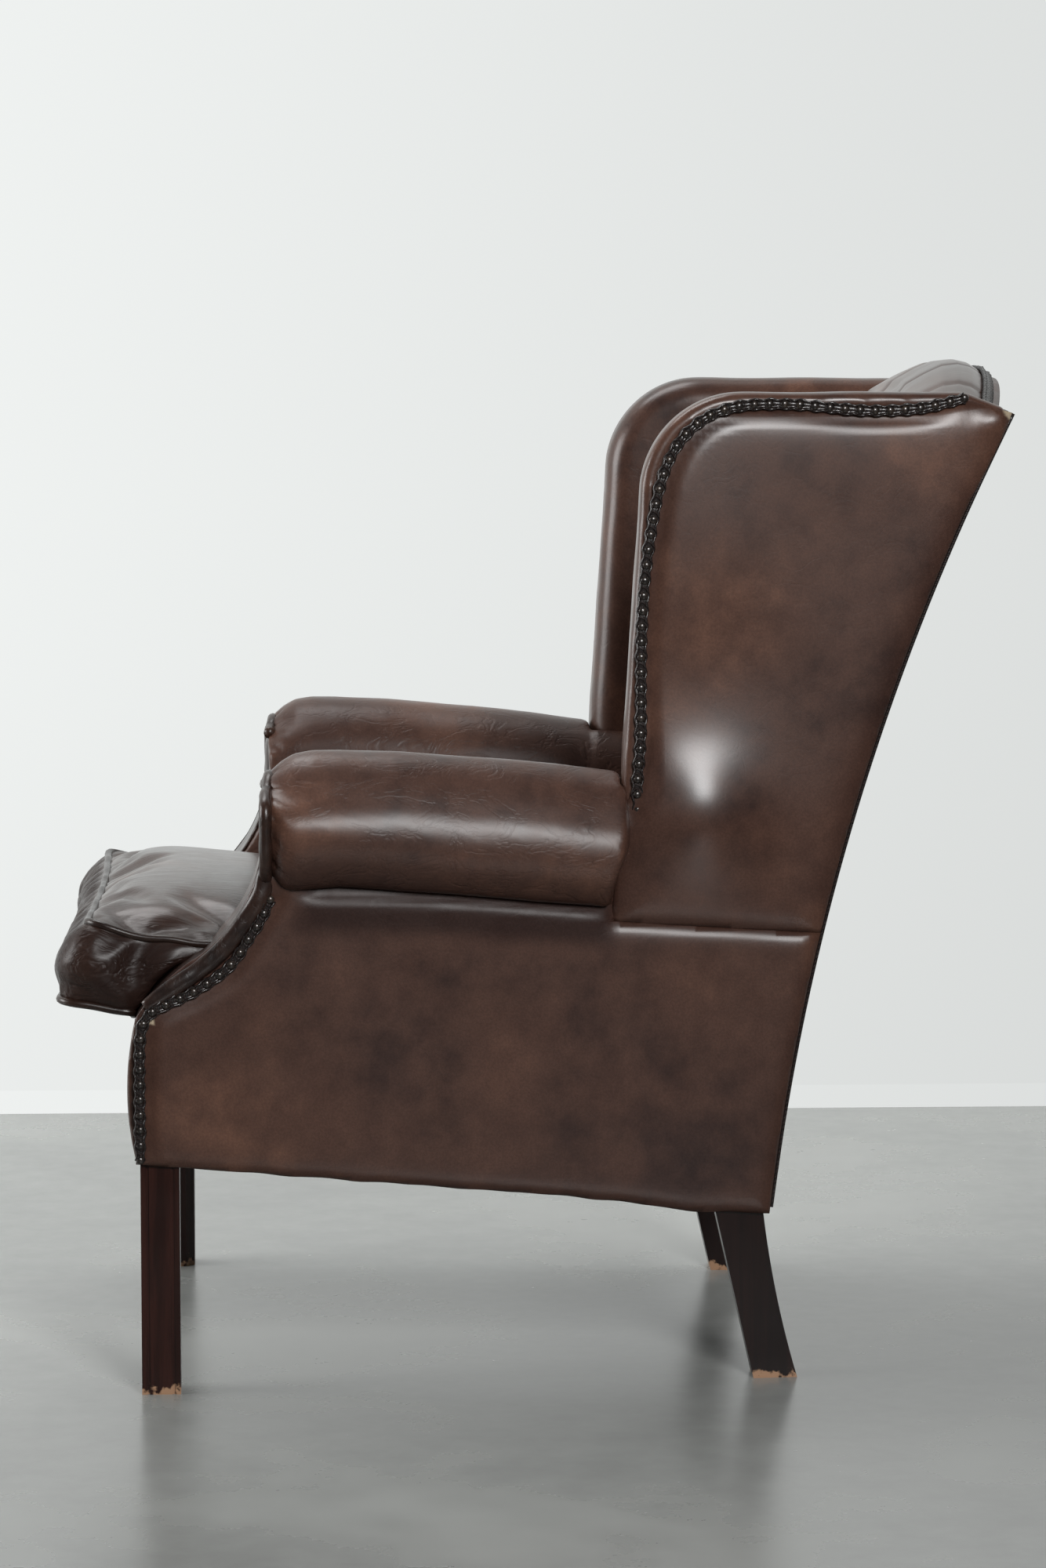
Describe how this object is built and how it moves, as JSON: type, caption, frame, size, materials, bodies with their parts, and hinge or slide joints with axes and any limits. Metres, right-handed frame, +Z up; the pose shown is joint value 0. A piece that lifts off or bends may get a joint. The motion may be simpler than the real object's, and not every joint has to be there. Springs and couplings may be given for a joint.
{
  "type": "wing chair",
  "caption": "Antique-style leather wing chair with a deep-buttoned raked back, rolled arms, close-nailed edges, a loose T-shaped cushion and grooved square front legs.",
  "frame": {"origin": "floor level, at the middle of the chair's width and depth", "axes": "+Z up, -Y the way the sitter faces, +X towards the sitter's left"},
  "size_m": [0.751, 1.0072, 1.058],
  "materials": {
    "leather": "aged, polished, dark red-brown",
    "cushion_leather": "aged, polished, dark red-brown",
    "button_leather": "polished, dark red-brown",
    "gimp_leather": "braided, dark brown",
    "leg_wood": "near-black polished hardwood, worn at the edges",
    "frame_wood": "plain sawn hardwood",
    "webbing": "woven jute",
    "hessian": "coarse woven jute",
    "platform_cloth": "plain dark cotton over stuffing",
    "dust_cloth": "thin black cotton",
    "stuffing": "feather and fibre filling in a plain case",
    "spring_steel": "hard drawn wire",
    "nail_brass": "dark antiqued"
  },
  "bodies": {
    "frame": {"arm_board_left": "frame_wood", "arm_board_right": "frame_wood", "arm_facing_left": "leather", "arm_facing_right": "leather", "arm_gimp_left": "gimp_leather", "arm_gimp_right": "gimp_leather", "arm_pad_left": "leather", "arm_pad_right": "leather", "arm_post_left": "frame_wood", "arm_post_right": "frame_wood", "back_buttons": "button_leather", "back_gimp": "gimp_leather", "back_post_left": "frame_wood", "back_post_right": "frame_wood", "back_webbing": "webbing", "bottom_cloth": "dust_cloth", "corner_blocks": "frame_wood", "crest_rail": "frame_wood", "front_border": "leather", "front_leg_left": "leg_wood", "front_leg_right": "leg_wood", "front_seat_rail": "frame_wood", "inside_back_pad": "leather", "lower_back_rail": "frame_wood", "outside_arm_panel_left": "leather", "outside_arm_panel_right": "leather", "outside_back_panel": "leather", "outside_wing_panel_left": "leather", "outside_wing_panel_right": "leather", "rear_leg_left": "leg_wood", "rear_leg_right": "leg_wood", "rear_seat_rail": "frame_wood", "seat_deck": "platform_cloth", "seat_hessian": "hessian", "seat_springs": "spring_steel", "seat_webbing": "webbing", "side_seat_rail_left": "frame_wood", "side_seat_rail_right": "frame_wood", "wing_gimp_left": "gimp_leather", "wing_gimp_right": "gimp_leather", "wing_pad_left": "leather", "wing_pad_right": "leather", "wing_post_left": "frame_wood", "wing_post_right": "frame_wood", "wing_rail_left": "frame_wood", "wing_rail_right": "frame_wood"},
    "seat_cushion": {"cushion_piping_bottom": "cushion_leather", "cushion_piping_top": "cushion_leather", "seat_cushion_core": "stuffing", "seat_cushion_cover": "cushion_leather"}
  },
  "joints": [
    {"name": "cushion_lift", "type": "slide", "parent": "frame", "child": "seat_cushion", "axis": [0, 0, 1], "range_m": [0, 0.4]}
  ]
}
